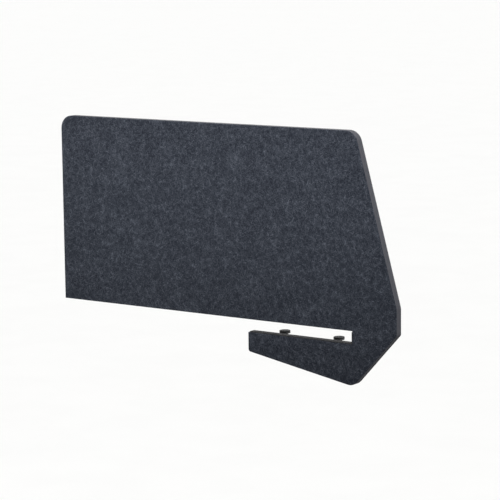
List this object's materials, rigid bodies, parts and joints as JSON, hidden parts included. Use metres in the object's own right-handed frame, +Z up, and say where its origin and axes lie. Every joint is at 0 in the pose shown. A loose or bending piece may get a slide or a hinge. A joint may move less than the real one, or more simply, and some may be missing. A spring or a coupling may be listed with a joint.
{
  "type": "desk privacy panel",
  "caption": "Tapered felt board that slides onto the end of a desk top by an open slot, with a tail below and screw clamps that grip the underside.",
  "frame": {"origin": "where the desk's top surface meets its front edge, half way through the board", "axes": "+X along the board towards the front of the desk, +Y through the board towards the person at the desk, +Z up"},
  "size_m": [0.8948, 0.063, 0.5383],
  "materials": {
    "felt": "pressed polyester felt, heathered charcoal, matte",
    "rubber": "black extruded rubber, matte",
    "zinc_steel": "bright zinc plated steel",
    "black_steel": "black powder coated steel, fine texture",
    "black_nylon": "black moulded nylon, satin"
  },
  "bodies": {
    "panel": {"outer_felt_sheet": "felt", "inner_felt_sheet": "felt", "slot_liner": "rubber", "tee_nuts": "zinc_steel", "bracket_screws": "zinc_steel", "weld_nuts": "zinc_steel", "front_clamp_bracket": "black_steel", "rear_clamp_bracket": "black_steel"},
    "front_foot": {"front_clamp_foot": "black_nylon", "front_foot_pad": "rubber"},
    "front_screw": {"front_clamp_spindle": "zinc_steel", "front_clamp_knob": "black_nylon"},
    "rear_foot": {"rear_clamp_foot": "black_nylon", "rear_foot_pad": "rubber"},
    "rear_screw": {"rear_clamp_spindle": "zinc_steel", "rear_clamp_knob": "black_nylon"}
  },
  "joints": [
    {"name": "front_clamp_lift", "type": "slide", "parent": "panel", "child": "front_foot", "axis": [0, 0, 1], "range_m": [-0.003, 0.007]},
    {"name": "front_clamp_turn", "type": "hinge", "parent": "front_foot", "child": "front_screw", "pos_m": [-0.06, 0.036, -0.068], "axis": [0, 0, 1], "range_deg": [-720, 1800]},
    {"name": "rear_clamp_lift", "type": "slide", "parent": "panel", "child": "rear_foot", "axis": [0, 0, 1], "range_m": [-0.003, 0.007]},
    {"name": "rear_clamp_turn", "type": "hinge", "parent": "rear_foot", "child": "rear_screw", "pos_m": [-0.2, 0.036, -0.068], "axis": [0, 0, 1], "range_deg": [-720, 1800]}
  ],
  "couplings": [
    {"joint": "front_clamp_lift", "follows": "front_clamp_turn", "m_per_rad": 0.00019894},
    {"joint": "rear_clamp_lift", "follows": "rear_clamp_turn", "m_per_rad": 0.00019894}
  ]
}
